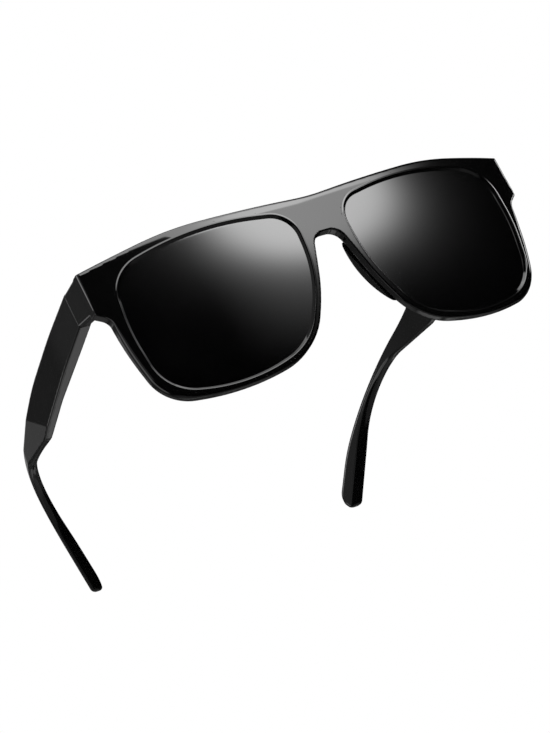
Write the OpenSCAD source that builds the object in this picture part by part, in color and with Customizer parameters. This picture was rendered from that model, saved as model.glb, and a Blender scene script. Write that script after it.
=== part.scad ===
// Square sunglasses: a one-piece curved front, two lenses and two folding temples.
// +X is the wearer's left, the front faces -Y and the temples run back along +Y.
// The frame stands on the lower rims and the temple tips, on the plane z = 0.

/* [Front] */
// Radius that the front is curved to
front_r = 214; // [180:1:300]
// Thickness of the front at the bridge
front_t = 4; // [3.6:0.1:5]
// Thickness of the front at the bottom of the rims
low_t = 3; // [2.8:0.1:3.6]
// Rim width above a lens, below the brow's high point
rim_top_w = 3.6; // [3:0.1:5]
// Distance of the brow's high points from the middle
brow_x = 44; // [38:1:50]
// How far the top edge dips at the bridge, below the brow's high points
brow_dip = 3.7; // [2.5:0.1:5]
// Height of the bridge, down to the top of the nose gap
bridge_h = 12.3; // [10:0.1:14]
// Rim width on the temple side
rim_side_w = 2.8; // [2.4:0.1:4]
// Rim width below the lens
rim_low_w = 1.6; // [1.4:0.1:3]
// Rim width on the nose side
rim_nose_w = 2.6; // [2:0.1:4]

/* [End pieces] */
// How far an end piece stands out past the rim
corner_out = 4.2; // [3:0.1:6]
// How far its top corner lies below the brow's high points
corner_drop = 2.5; // [1.5:0.1:3.5]
// Height of an end piece at the front corner
corner_h = 13.6; // [12:0.1:15]
// Depth of an end piece, from the bridge's face back to the temple joint
seam_y = 25.4; // [24:0.1:28]
// Thickness of an end piece's side wall, and of the temple that meets it
wall_t = 4; // [3.6:0.1:5]

/* [Lenses] */
// Width of a lens opening, from lip to lip
lens_w = 57.8; // [54:0.1:60]
// Height of a lens opening, from lip to lip
lens_h = 46.6; // [42:0.1:47]
// Gap between the two lens openings, at the bridge
bridge_w = 16; // [14:0.1:20]
// Lens thickness
lens_t = 1.6; // [1.2:0.1:1.7]
// How far the lens lies behind the rim's face
lens_recess = 0.8; // [0.6:0.05:0.9]
// Depth of the groove that holds the lens edge
groove_d = 1.1; // [0.8:0.05:1.3]
// Width of the polished step inside the lip, round each lens
step_w = 0.85; // [0.5:0.05:1]
// Depth of that step
step_d = 0.45; // [0.2:0.05:0.6]

/* [Nose pads] */
// How far the pads stand out behind the front
pad_depth = 3.7; // [2:0.1:4]
// Width of a pad
pad_w = 3; // [2.6:0.1:3.4]
// Length of a pad, down the nose side of the rim
pad_l = 24; // [18:0.5:25]

/* [Temples] */
// Reach of the temples, from the bridge's face back to the tips
temple_reach = 146.4; // [144:0.2:152]
// Height of a temple at its joint
temple_h = 11.4; // [10.6:0.1:12.4]
// Thickness of a temple past its hinge
temple_t = 3; // [2.6:0.1:3.8]
// Height of a temple at its step, where the broad part ends
broad_h = 12.2; // [11:0.1:13]
// Distance of the top edge's gentle bend from the bridge's face
temple_mid_y = 75; // [65:1:80]
// Drop of the top edge from the joint to that bend
mid_drop = 4.8; // [4:0.1:5.5]
// Distance of the ear bend from the bridge's face
ear_y = 128; // [126:0.1:130]
// Drop of the top edge from the joint to the ear bend
ear_drop = 15.85; // [14:0.05:18]
// Height of a temple at the ear bend
tail_h = 4.7; // [4.5:0.1:5]
// Height of a temple at its tip
tip_h = 4.6; // [4:0.1:6]
// How far the tips turn in
tip_inset = 23.5; // [18:0.1:25]
// Width of the wire core
core_w = 1.1; // [0.8:0.05:1.4]
// Height of the wire core
core_h = 1.3; // [1:0.05:1.5]

/* [Hinges] */
// Hinge screw diameter
screw_d = 1.4; // [1.2:0.05:1.6]
// Barrel diameter
barrel_d = 3.2; // [2.8:0.1:3.4]
// Height of the whole barrel
barrel_h = 6.3; // [5.5:0.1:7.5]
// Thickness of a hinge leaf
leaf_t = 1.2; // [0.9:0.05:1.4]
// Length of a hinge leaf along the wall
leaf_l = 7.6; // [7:0.1:9]
// Rivet diameter
rivet_d = 1.3; // [1:0.05:1.5]
// Screw head diameter
head_d = 2.6; // [2.2:0.1:3]
// Screw head height
head_h = 0.7; // [0.5:0.05:1]

/* [Clearances] */
// Play between the temple's end and the end piece
seam_gap = 0.15; // [0.1:0.01:0.3]
// Play round a lens in its groove
lens_play = 0.05; // [0.03:0.01:0.08]
// Radial play of the turning barrel on its screw
pin_play = 0.04; // [0.02:0.01:0.08]
// Radial play of fixed metal parts in their holes
fix_play = 0.02; // [0.01:0.01:0.04]
// Gap between neighbouring barrels
barrel_gap = 0.1; // [0.06:0.01:0.2]
// Gap between a barrel and the walls beside it
barrel_room = 0.2; // [0.15:0.01:0.4]

/* [Hidden] */

RIGHT = -1;
LEFT = 1;
acetate = [0.03, 0.03, 0.03];
smoke = [0.07, 0.07, 0.08];
steel = [0.75, 0.76, 0.78];

// Straight pieces that make up each rounded corner of an outline
arc_steps = 8;
$fn = 48;

// The whole part is centred front to back on the origin.
front_y = -temple_reach / 2;
nose_x = bridge_w / 2;
outer_x = nose_x + lens_w;
lens_mid_x = nose_x + lens_w / 2;
half_w = outer_x + rim_side_w + corner_out;
front_w = 2 * half_w;

// The rims' curved underside is cut this far to stand flat.
foot_cut = 0.1;
rim_low_z = -foot_cut;
lens_low_z = rim_low_z + rim_low_w;
lens_top_z = lens_low_z + lens_h;
brow_z = lens_top_z + rim_top_w;
bridge_top_z = brow_z - brow_dip;
bridge_low_z = bridge_top_z - bridge_h;
corner_top_z = brow_z - corner_drop;
corner_low_z = corner_top_z - corner_h;
// The end piece's top edge rises this much from its corner back to the temple.
seam_rise = 0.35;
seam_top_z = corner_top_z + seam_rise;
seam_low_z = seam_top_z - temple_h;

// The front's face is part of a ball that reaches furthest forward at this height.
ball_z = brow_z - 8.4;
// The back is part of a ball set lower, so the front gets thinner towards its bottom.
back_z = ball_z - (front_t - low_t) * (front_r - front_t) / bridge_top_z;
// Lengths past every edge of the part, for cuts that run right through
front_reach = seam_y;
past = 5;
tall = brow_z + past;

// Hinge axis, inside the side wall and level with the joint's middle
axis_x = half_w - wall_t - barrel_room - barrel_d / 2;
hinge_z = (seam_top_z + seam_low_z) / 2;
leaf_sink = 0.4;
leaf_in_x = half_w - wall_t + leaf_sink - leaf_t;
leaf_start = barrel_d / 2 + barrel_room;
knuckle_h = (barrel_h - 2 * barrel_gap) / 3;
rivet_inset = 2;
rivet_bite = 1.9;
rivet_head_h = 0.25;

// Half the angle at corner v, between the edges to p and to n
function half_angle(p, v, n) =
    acos(max(-1, min(1, (p - v) * (n - v) / norm(p - v) / norm(n - v)))) / 2;

// Points on an arc of radius r that rounds corner v, between the edges to p and to n
function corner_arc(p, v, n, r) =
    let (
        a = (p - v) / norm(p - v),
        b = (n - v) / norm(n - v),
        half = half_angle(p, v, n),
        mid = v + (a + b) / norm(a + b) * r / sin(half),
        from = v + a * r / tan(half) - mid,
        to = v + b * r / tan(half) - mid,
        start = atan2(from[1], from[0]),
        turn = atan2(from[0] * to[1] - from[1] * to[0], from * to)
    )
    r == 0 ? [v] : [for (i = [0 : arc_steps])
        mid + r * [cos(start + turn * i / arc_steps), sin(start + turn * i / arc_steps)]];

// A closed outline from corners [x, y, radius]. Arcs that would overlap along an edge are
// made smaller until they just fit.
function rounded(corners) =
    let (
        n = len(corners),
        v = [for (c = corners) [c[0], c[1]]],
        run = [for (i = [0 : n - 1])
            corners[i][2] / tan(half_angle(v[(i + n - 1) % n], v[i], v[(i + 1) % n]))],
        // Share of the arcs on the edge from corner i to the next that the edge has room for
        room = [for (i = [0 : n - 1]) let (k = (i + 1) % n)
            min(1, 0.98 * norm(v[k] - v[i]) / (run[i] + run[k] + 0.001))]
    )
    [for (i = [0 : n - 1]) let (j = (i + n - 1) % n)
        each corner_arc(v[j], v[i], v[(i + 1) % n], corners[i][2] * min(room[i], room[j]))];

function unit(v) = v / norm(v);
function left_of(v) = [-v[1], v[0]];
function spot(corner) = [corner[0], corner[1]];

// The corners [x, y, radius] of a path, moved d to the left of the way it runs
function beside(path, d) =
    let (n = len(path))
    [for (i = [0 : n - 1])
        let (
            v = spot(path[i]),
            ahead = i < n - 1 ? spot(path[i + 1]) - v : v - spot(path[i - 1]),
            behind = i > 0 ? v - spot(path[i - 1]) : ahead,
            a = left_of(unit(behind)),
            b = left_of(unit(ahead)),
            m = v + d * (a + b) / (1 + a * b)
        )
        [m[0], m[1], path[i][2] == 0 ? 0 : path[i][2] - d * sign(cross(behind, ahead))]];

function reversed(list) = [for (i = [len(list) - 1 : -1 : 0]) list[i]];

// A band of the given half width along a path
function band(path, half) = concat(beside(path, half), reversed(beside(path, -half)));

function mirrored(corners) =
    let (n = len(corners)) [for (i = [1 : n]) [-corners[n - i][0], corners[n - i][1], corners[n - i][2]]];

// Radius of the top edge's dip at the bridge
dip_r = 60;

// Lip of the lens opening on the +X side, from the upper nose corner
lens_corners = [
    [nose_x - 0.4, lens_top_z - 4, 8.7],
    [lens_mid_x, lens_top_z + 1.8, 100],
    [outer_x - 1.2, lens_top_z - 3, 11.5],
    [outer_x + 0.4, lens_low_z + 25, 50],
    [outer_x - 2.5, lens_low_z + 5, 15],
    [lens_mid_x + 3, lens_low_z - 1.9, 49],
    [nose_x + 10.8, lens_low_z + 3.6, 18.5],
    [nose_x + 0.5, lens_low_z + 22.3, 44]];

// Outer edge of the front on the +X side, from the brow round to the nose gap
front_corners = [
    [brow_x, brow_z, 112],
    [half_w, corner_top_z, 0.4],
    [half_w, corner_low_z, 0.8],
    [outer_x + rim_side_w + 0.6, corner_low_z - 3, 5],
    [outer_x + rim_side_w, lens_low_z + 21, 96],
    [outer_x + rim_side_w - 4.7, rim_low_z + 4.1, 14.5],
    [lens_mid_x + 4.6, rim_low_z - 1.2, 68],
    [nose_x + 12.4 - rim_nose_w, rim_low_z + 2.6, 21.5],
    [nose_x + 4 - rim_nose_w, lens_low_z + 17, 66],
    [nose_x - 1.3 - rim_nose_w, bridge_low_z, 4.4]];

module lens_outline(grow = 0) offset(delta = grow) polygon(rounded(lens_corners));

module front_outline()
    polygon(rounded(concat([[0, bridge_top_z, dip_r]], front_corners, mirrored(front_corners))));

// Runs an outline drawn in x and z straight back along Y.
module run_back(y0, y1)
    translate([0, y1, 0]) rotate([90, 0, 0]) linear_extrude(y1 - y0) children();

// The ball whose skin lies d behind the front's face
module ball(d)
    translate([0, front_r, ball_z]) sphere(r = front_r - d, $fn = 240);

// What lies more than d behind the front's back
module behind_front(d = 0, steps = 240)
    translate([0, front_r, back_z]) sphere(r = front_r - front_t - d, $fn = steps);

module shell(d0, d1)
    difference() {
        ball(d0);
        ball(d1);
    }

module on_side(side) scale([side, 1, 1]) children();

// Puts what is drawn from the bridge's face back into the part's own frame.
module place() translate([0, front_y, 0]) children();

// Both halves of a hinge sit on this axis.
module at_hinge() translate([axis_x, seam_y, hinge_z]) children();

// Front

// The end piece's side wall is straight over this length, ahead of the joint.
wall_l = leaf_start + 7.2;
// Inside the corner, it widens by this much to meet the rim.
web_w = 4.2;
web_l = 3.4;
// Its top and bottom edges turn towards the temple at this depth.
turn_y = 12;

module end_piece() {
    inner_x = half_w - wall_t;
    plan = [
        [half_w, -past, 0],
        [half_w, seam_y, 0.3],
        [inner_x, seam_y, 0],
        [inner_x, seam_y - wall_l, 3],
        [inner_x - web_w, seam_y - wall_l - web_l, 0],
        [inner_x - web_w, -past, 0]];
    side = [
        [-past, corner_low_z, 0],
        [turn_y, corner_low_z, 4],
        [seam_y, seam_low_z, 0],
        [seam_y, seam_top_z, 0],
        [turn_y, corner_top_z, 4],
        [-past, corner_top_z, 0]];
    intersection() {
        linear_extrude(tall) polygon(rounded(plan));
        rotate([90, 0, 90]) linear_extrude(front_w) polygon(rounded(side));
    }
}

module lens_seat(side)
    on_side(side) {
        run_back(-past, front_reach) lens_outline(-step_w);
        intersection() {
            shell(-1, step_d);
            run_back(-past, front_reach) lens_outline();
        }
        intersection() {
            shell(lens_recess - lens_play, lens_recess + lens_t + lens_play);
            run_back(-past, front_reach) lens_outline(groove_d - step_w + lens_play);
        }
    }

// Recess for a hinge leaf and its rivet holes, cut from a wall whose joint is at y = 0
module leaf_pocket(ahead) {
    y0 = leaf_start - fix_play;
    y1 = leaf_start + leaf_l + fix_play;
    scale([1, ahead, 1]) {
        translate([half_w - wall_t - 1, y0, -barrel_h / 2 - fix_play])
            cube([1 + leaf_sink + fix_play, y1 - y0, barrel_h + 2 * fix_play]);
        at_rivets() translate([0, 0, leaf_in_x]) cylinder(d = rivet_d + 2 * fix_play,
            h = leaf_t + rivet_bite + fix_play);
    }
}

// Rivet axes run along X, at the two ends of a leaf that starts at y = 0.
module at_rivets()
    for (y = [leaf_start + rivet_inset, leaf_start + leaf_l - rivet_inset])
        translate([0, y, 0]) rotate([0, 90, 0]) children();

module front_frame()
    color(acetate) place() difference() {
        intersection() {
            ball(0);
            union() {
                difference() {
                    run_back(-past, front_reach) front_outline();
                    behind_front();
                }
                for (side = [RIGHT, LEFT]) on_side(side) end_piece();
            }
        }
        for (side = [RIGHT, LEFT]) {
            lens_seat(side);
            on_side(side) translate([0, seam_y, hinge_z]) leaf_pocket(-1);
        }
        // The lower rims are flat where the frame stands on them.
        translate([-half_w, -past, -past]) cube([front_w, front_reach + 2 * past, past]);
    }

// Lenses

module lens(side)
    color(smoke) place() on_side(side) intersection() {
        shell(lens_recess, lens_recess + lens_t);
        run_back(-past, front_reach) lens_outline(groove_d - step_w);
    }

// Nose pads: slices of a round-edged disc, cemented behind the rims beside the nose

// How far a pad's top end lies below the bridge, and how far it reaches into the nose gap
pad_drop = 4.3;
pad_in = 1.9;
// Degrees that the pads lean out towards the bottom
pad_lean = 21.5;
pad_top = [nose_x - pad_in, bridge_low_z - pad_drop];

module nose_pad(side) {
    r = pad_w / 2;
    disc_r = (pad_l * pad_l / 4 + pad_depth * pad_depth) / 2 / pad_depth;
    mid = pad_top + pad_l / 2 * [sin(pad_lean), -cos(pad_lean)];
    color(acetate) place() on_side(side) intersection() {
        translate([mid[0], back_y(mid[0], mid[1]) + pad_depth - disc_r, mid[1]])
            rotate([0, 90 - pad_lean, 0]) rotate_extrude($fn = 240)
                polygon(rounded([[0, -r, 0], [disc_r, -r, r], [disc_r, r, r], [0, r, 0]]));
        behind_front(fix_play, 480);
    }
}

// How far back the front's back lies, at a place across and up
function back_y(x, z) = front_r - sqrt(pow(front_r - front_t, 2) - x * x - pow(z - back_z, 2));

// Hinges

// A barrel from height z0, with the tongue that joins it to its leaf on one side.
// ahead is -1 for the leaf in the front and 1 for the leaf in the temple.
module knuckle(z0, ahead)
    translate([0, 0, z0]) {
        cylinder(d = barrel_d, h = knuckle_h);
        translate([0, ahead > 0 ? 0 : -leaf_start - 0.5, 0])
            cube([barrel_d / 2, leaf_start + 0.5, knuckle_h]);
    }

module leaf_plate(ahead)
    translate([leaf_in_x - axis_x, ahead > 0 ? leaf_start : -leaf_start - leaf_l, -barrel_h / 2])
        cube([leaf_t, leaf_l, barrel_h]);

module leaf_holes(ahead)
    scale([1, ahead, 1]) at_rivets() translate([0, 0, leaf_in_x - axis_x - 1])
        cylinder(d = rivet_d + 2 * fix_play, h = leaf_t + 2);

module hinge_front_leaf(side)
    color(steel) place() on_side(side) at_hinge() difference() {
        union() {
            knuckle(-barrel_h / 2, -1);
            knuckle(barrel_h / 2 - knuckle_h, -1);
            leaf_plate(-1);
        }
        cylinder(d = screw_d + 2 * fix_play, h = 2 * barrel_h, center = true);
        leaf_holes(-1);
        // Room for the turning barrel between the two fixed ones
        translate([0, 0, -knuckle_h / 2 - barrel_gap])
            cylinder(r = leaf_start, h = knuckle_h + 2 * barrel_gap);
    }

module hinge_temple_leaf(side)
    color(steel) place() on_side(side) at_hinge() difference() {
        union() {
            knuckle(-knuckle_h / 2, 1);
            leaf_plate(1);
        }
        cylinder(d = screw_d + 2 * pin_play, h = 2 * barrel_h, center = true);
        leaf_holes(1);
        // Room for the two fixed barrels as the temple turns
        for (z = [-barrel_h / 2 - 1, knuckle_h / 2])
            translate([0, 0, z]) cylinder(r = leaf_start, h = knuckle_h + barrel_gap + 1);
    }

module hinge_screw(side)
    color(steel) place() on_side(side) at_hinge() difference() {
        union() {
            translate([0, 0, -barrel_h / 2]) cylinder(d = screw_d, h = barrel_h);
            translate([0, 0, barrel_h / 2]) cylinder(d = head_d, h = head_h);
        }
        // Slot for the screwdriver
        translate([-head_d / 2 - 0.1, -0.2, barrel_h / 2 + head_h / 2]) cube([head_d + 0.2, 0.4, head_h]);
    }

// ahead is -1 for the pair in the front and 1 for the pair in the temple.
module rivets(side, ahead)
    color(steel) place() on_side(side) translate([0, seam_y, hinge_z]) scale([1, ahead, 1])
        at_rivets() {
            translate([0, 0, leaf_in_x]) cylinder(d = rivet_d, h = leaf_t + rivet_bite - 0.1);
            translate([0, 0, leaf_in_x - rivet_head_h]) cylinder(d = rivet_d + 0.7, h = rivet_head_h);
        }

// Temples: the side view and the plan are each run through and kept where they cross.

temple_y = seam_y + seam_gap;
// The broad part ends this far ahead of the ear bend, and the slim tail starts there.
step_run = 43.8;
tail_start = 19.5;
step_y = ear_y - step_run;
tail_y = ear_y - tail_start;
mid_z = seam_top_z - mid_drop;
ear_z = seam_top_z - ear_drop;
// Direction of the top edge ahead of the ear bend and past it
arm_run = unit([ear_y - temple_mid_y, ear_z - mid_z]);
// Height where the tail's back edge ends at the tip
tip_top_z = 5.6;
tail_run = unit([temple_reach - ear_y, tip_top_z - ear_z]);
step_top_z = mid_z + (step_y - temple_mid_y) * arm_run[1] / arm_run[0];
// The underside's corner below the ear bend
ear_low = [ear_y, ear_z] - tail_h * (left_of(arm_run) + left_of(tail_run)) / (1 + arm_run * tail_run);
tip_low_y = ear_y + (ear_z * tail_run[0] - tip_h) / -tail_run[1];

side_corners = [
    [temple_y, seam_top_z, 0],
    [temple_mid_y, mid_z, 124],
    [ear_y, ear_z, 60],
    [temple_reach, tip_top_z, 6],
    [temple_reach, 2.4, 3],
    [tip_low_y, -1.7, 1.5],
    [ear_low[0], ear_low[1], 44],
    [tail_y, ear_z - 0.7, 20],
    [step_y, step_top_z - broad_h, 12],
    [temple_y, seam_low_z, 0]];

// The temples run nearly straight as far as this, then turn in.
bend_y = ear_y - 12.6;
bend_x = half_w - 3.2;
tip_x = half_w - tip_inset;
// The plans are drawn on past the tip, along the same line.
overrun = [-2, 3];
// Share of its thickness that the temple has at the turn and at the tip
bend_share = 1.05;
tip_share = 1.4;

// Plan of the temple's outside, from the joint to just past the tip
outside = [
    [half_w, temple_y, 0],
    [half_w, temple_y + 22, 300],
    [bend_x, bend_y, 90],
    [tip_x + overrun[0], temple_reach + overrun[1], 0]];
// Plan of its inside, thicker at the hinge and at the tip
inside = [
    [half_w - wall_t, temple_y, 0],
    [half_w - wall_t, temple_y + 12, 30],
    [half_w - temple_t - 0.76, temple_y + 38, 100],
    [bend_x - temple_t * bend_share, bend_y - 0.5, 87],
    [tip_x + overrun[0] - temple_t * tip_share, temple_reach + overrun[1], 0]];

module temple_solid()
    intersection() {
        linear_extrude(tall) polygon(rounded(concat(outside, reversed(inside))));
        rotate([90, 0, 90]) linear_extrude(front_w) polygon(rounded(side_corners));
    }

// Wire core, swept along the temple's own middle line
core_start = temple_y + leaf_start + leaf_l + 3;
core_end = temple_reach - 6.5;
core_end_z = 11;
// Bend radii of the wire along the arm and at the ear
arm_r = 60;
ear_r = 44;
// Where the wire's bend lies between the temple's upper and lower corners at the ear
ear_share = 0.85;

module core_solid(grow) {
    ear = [ear_y, ear_z] + (ear_low - [ear_y, ear_z]) * ear_share;
    path = [
        [core_start - grow, (seam_top_z + seam_low_z) / 2 - 1.4, 0],
        [step_y, step_top_z - broad_h / 2 + 0.4, arm_r],
        [tail_y, ear_z + 1.4, arm_r],
        [ear[0], ear[1], ear_r],
        [core_end + grow * tail_run[0], core_end_z + grow * tail_run[1], 0]];
    plan = beside(outside, temple_t / 2);
    intersection() {
        rotate([90, 0, 90]) linear_extrude(front_w) polygon(rounded(band(path, core_h / 2 + grow)));
        linear_extrude(tall) polygon(rounded(band(plan, core_w / 2 + grow)));
    }
}

module temple_core(side)
    color(steel) place() on_side(side) core_solid(0);

module temple(side)
    color(acetate) place() on_side(side) difference() {
        temple_solid();
        core_solid(fix_play);
        translate([0, seam_y, hinge_z]) leaf_pocket(1);
    }

front_frame();
lens(RIGHT);  // lens_right
lens(LEFT);  // lens_left
nose_pad(RIGHT);  // nose_pad_right
nose_pad(LEFT);  // nose_pad_left
hinge_front_leaf(RIGHT);  // hinge_front_leaf_right
hinge_front_leaf(LEFT);  // hinge_front_leaf_left
hinge_temple_leaf(RIGHT);  // hinge_temple_leaf_right
hinge_temple_leaf(LEFT);  // hinge_temple_leaf_left
hinge_screw(RIGHT);  // hinge_screw_right
hinge_screw(LEFT);  // hinge_screw_left
rivets(RIGHT, -1);  // front_rivets_right
rivets(LEFT, -1);  // front_rivets_left
rivets(RIGHT, 1);  // temple_rivets_right
rivets(LEFT, 1);  // temple_rivets_left
temple_core(RIGHT);  // temple_core_right
temple_core(LEFT);  // temple_core_left
temple(RIGHT);  // temple_right
temple(LEFT);  // temple_left
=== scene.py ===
"""Dresses the square sunglasses and sets the stage for their picture."""
import math

import bpy
import numpy as np
from bpy.props import FloatProperty, FloatVectorProperty, IntProperty, PointerProperty
from mathutils import Matrix, Vector


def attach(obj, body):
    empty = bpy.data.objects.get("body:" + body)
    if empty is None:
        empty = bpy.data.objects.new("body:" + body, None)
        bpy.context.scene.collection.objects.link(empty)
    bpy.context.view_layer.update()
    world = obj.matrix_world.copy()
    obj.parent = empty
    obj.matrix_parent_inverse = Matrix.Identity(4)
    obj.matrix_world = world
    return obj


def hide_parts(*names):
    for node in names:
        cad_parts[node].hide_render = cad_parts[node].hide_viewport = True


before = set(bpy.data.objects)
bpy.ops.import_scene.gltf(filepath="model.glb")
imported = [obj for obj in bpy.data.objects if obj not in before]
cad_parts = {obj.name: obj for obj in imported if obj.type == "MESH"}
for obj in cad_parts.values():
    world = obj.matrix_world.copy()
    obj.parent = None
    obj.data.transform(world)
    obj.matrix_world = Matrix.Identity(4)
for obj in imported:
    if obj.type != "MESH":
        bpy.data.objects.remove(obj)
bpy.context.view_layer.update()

bl_info = {
    "name": "Square sunglasses",
    "version": (1, 0, 0),
    "blender": (4, 5, 0),
    "location": "3D View > Sidebar > Sunglasses",
    "description": "Builds the dressed pieces of a pair of square sunglasses over their CAD frame",
    "category": "Object",
}

MM = 0.001
SIDES = {"right": -1, "left": 1}
ANGLES = ("pad_lean", "facet_turn")  # The sizes that aren't lengths

# Lengths in millimetres that shape the outlines, as in the CAD source.
BALL_DROP = 8.4  # Middle of the face's curve, below the brow's high points
FOOT_CUT = 0.1  # How far the rims' outline runs below the plane that they stand on
SEAM_RISE = 0.35  # Top of the temple joint, above the end piece's top corner
PAST_SEAM, PAST_FACE = 4, 5  # How far outlines run on past the joint and ahead of the face
SLOPE_Y = 12  # Where an end piece's edges start to slope to the joint
WALL_RUN = 7.2  # Length of an end piece's thin wall, from the near end of its hinge leaf
WEB_W, WEB_L = 4.2, 3.4  # The web that joins that wall to the rim, across and along
STEP_RUN, TAIL_RUN = 43.8, 19.5  # A temple's step, and its slim tail, ahead of the ear bend
TIP_TOP, TIP_FOOT = 5.6, 2.4  # Heights of a tip's two corners
BEND_RUN, BEND_IN = 12.6, 3.2  # The bend in plan, ahead of the ear bend and in from the side
STRAIGHT_L = 22  # How far a temple's outside runs straight back from the joint
TIP_PAST = 3  # How far the plan runs on past a tip
LENS_PLAY = 0.05  # Play of a lens in its groove
LEAF_CUT = 2  # Depth of the box that cuts a hinge leaf's recess

# Lengths in millimetres that only the dressed pieces have.
FLAT_EDGE = ((34, 44), (50, 33))  # A temple's flat starts here, ahead of the ear bend and up
BROW_FADE = 8  # The brow's edge has its full rounding from this far below its top
SIDE_FADE = (12, 4)  # The rims' sides get rounder from here to here, in from the opening's side
LOW_FADE = (12, 2)  # That ends between these, down from the end pieces
TAIL_FADE = (50, 8)  # A temple's edges get rounder from here to here, ahead of the ear bend
CREASE_R = 0.05  # Rounding where two outer faces meet at a slight angle
LEDGE_R = 0.3  # Rounding of the ledge behind a lens
STEP_OUT, STEP_DEEP = 0.5, 0.3  # Cut for the step piece, past the opening and the lens's face
LIP_OUT = 0.85  # How far the step piece runs out over the face
BEAD_R = 1.5  # Rounding at the foot of the bead
LIP_RISE = 0.003  # How far the step piece stands above the face

# Cells that the surfaces are meshed in, in millimetres.
FRONT_CELL, PAD_CELL, ARM_CELL = 0.35, 0.3, 0.4
SEAM_CELL, SEAM_REACH = 0.12, 0.8  # Near a temple joint, and how far that goes
STEP_CELL, LENS_CELL = 0.3, 0.6
MARGIN, SEAM_MARGIN = 1, 0.9  # Room round a solid, and ahead of or behind a joint
ARM_IN = 30  # Room for a temple's bend
PAD_BOX = ((2, 22), (1, 10), (3, 34))  # Room for a nose pad

# Boxes of light round the sunglasses: brightness, then from where to where around and up in
# degrees, each with the softness of the first and the last edge. Degrees around count from
# straight ahead to the right, and right and left are as seen from ahead.
LIGHT_BOXES = (
    (3.5, (-60, 95, 8, 8), (62, 84, 3, 3)),  # Overhead
    (8, (77.5, 93, 1, 2), (5, 22, 2, 2)),  # Right, for the lens steps
    (3, (-111, -86, 4, 3), (20.6, 46, 0.9, 4)),  # Left, for the corners
    (1.2, (-111, -86, 4, 3), (-40, 13.5, 5, 1.2)),
    (0.8, (-154, -147, 2, 3), (-1, 15.5, 3, 1.5)),  # Behind, for the rims' outer sides
    (0.07, (146, 162, 3, 3), (-8, 10, 3, 3)),
    (0.2, (-168, -148, 3, 3), (-32, -12, 3, 3)),  # Low behind, for the end pieces' notches
    (0.5, (143, 158, 3, 3), (-45, -27, 3, 3)),  # Low behind, for the temples' undersides
)
# Soft lamps: name, place in metres, and share of the key light's power.
LAMPS = (("key", (-0.5, -0.5, 1.3), 1), ("fill", (0.8, 0.6, 1.1), 0.4))
LAMP_W = 0.9
SENSOR_W = 36  # Millimetres


def length(name, description, millimetres):
    """A length, given in millimetres and kept in metres."""
    return FloatProperty(name=name, description=description, default=millimetres * MM,
                         unit="LENGTH", subtype="DISTANCE", precision=5)


def angle(name, description, degrees):
    """An angle, given in degrees."""
    return FloatProperty(name=name, description=description, default=math.radians(degrees),
                         unit="ROTATION", subtype="ANGLE")


def colour(name, description, tone):
    """A colour, given as linear red, green and blue."""
    return FloatVectorProperty(name=name, description=description, default=tone, size=3,
                               min=0, max=1, subtype="COLOR", precision=5)


class FrontSizes(bpy.types.PropertyGroup):
    """Sizes of the front, as in the CAD source, and the roundings of its edges."""
    front_r: length("Face radius", "Radius that the front is curved to", 214)
    front_t: length("Thickness", "Thickness of the front at the bridge", 4)
    low_t: length("Lower thickness", "Thickness at the bottom of the rims", 3)
    rim_top_w: length("Upper rim", "Rim width above a lens", 3.6)
    brow_x: length("Brow place", "Distance of the brow's high points from the middle", 44)
    brow_dip: length("Brow dip", "Dip of the top edge at the bridge", 3.7)
    bridge_h: length("Bridge height", "Height of the bridge above the nose gap", 12.3)
    rim_side_w: length("Side rim", "Rim width on the temple side", 2.8)
    rim_low_w: length("Lower rim", "Rim width below the lens", 1.6)
    rim_nose_w: length("Nose rim", "Rim width on the nose side", 2.6)
    corner_out: length("End piece reach", "How far an end piece stands past the rim", 4.2)
    corner_drop: length("Corner drop", "Drop of its top corner below the brow", 2.5)
    corner_h: length("Corner height", "Height of an end piece at the front corner", 13.6)
    seam_y: length("Joint depth", "Depth of the temple joint behind the bridge's face", 25.4)
    wall_t: length("Wall thickness", "Thickness of an end piece's side wall", 4)
    edge_r: length("Face edge", "Rounding of the edges round the face", 0.5)
    brow_r: length("Brow edge", "Rounding of the brow's top edge", 1.0)
    back_edge_r: length("Back edge", "Rounding of the edges round the back", 1.2)
    corner_r: length("Corner edge", "Rounding of the end pieces' long edges", 1.0)
    side_r: length("Side edge", "Rounding of the rims' outer edges", 1.3)


class LensSizes(bpy.types.PropertyGroup):
    """Sizes of the lenses, as in the CAD source, and of the finished step round each."""
    lens_w: length("Width", "Width of a lens opening", 57.8)
    lens_h: length("Height", "Height of a lens opening", 46.6)
    bridge_w: length("Bridge width", "Gap between the two lens openings", 16)
    lens_t: length("Thickness", "Lens thickness", 1.6)
    lens_recess: length("Recess", "How far a lens lies behind the rim's face", 0.8)
    groove_d: length("Groove", "Depth of the groove that holds the lens edge", 1.1)
    step_w: length("Step width", "Width of the polished step inside the lip", 0.85)
    step_d: length("Step depth", "Depth of that step at the lens", 0.9)
    lip_r: length("Lip", "Rounding of the lip beside and below each lens", 0.5)
    lip_top_r: length("Upper lip", "Rounding of the lip above each lens", 0.35)
    bead_w: length("Bead width", "Width of the low bead round each lens", 0.5)
    bead_h: length("Bead height", "Height of that bead at the lip", 0.07)


class PadSizes(bpy.types.PropertyGroup):
    """Sizes of the nose pads, as in the CAD source."""
    pad_depth: length("Depth", "How far a pad stands out behind the front", 3.7)
    pad_w: length("Width", "Width of a pad", 3)
    pad_l: length("Length", "Length of a pad", 24)
    pad_drop: length("Drop", "Top end of a pad below the bridge", 4.3)
    pad_in: length("Reach", "How far a pad's top reaches into the nose gap", 1.9)
    pad_lean: angle("Lean", "How far the pads lean out downwards", 21.5)


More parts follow.
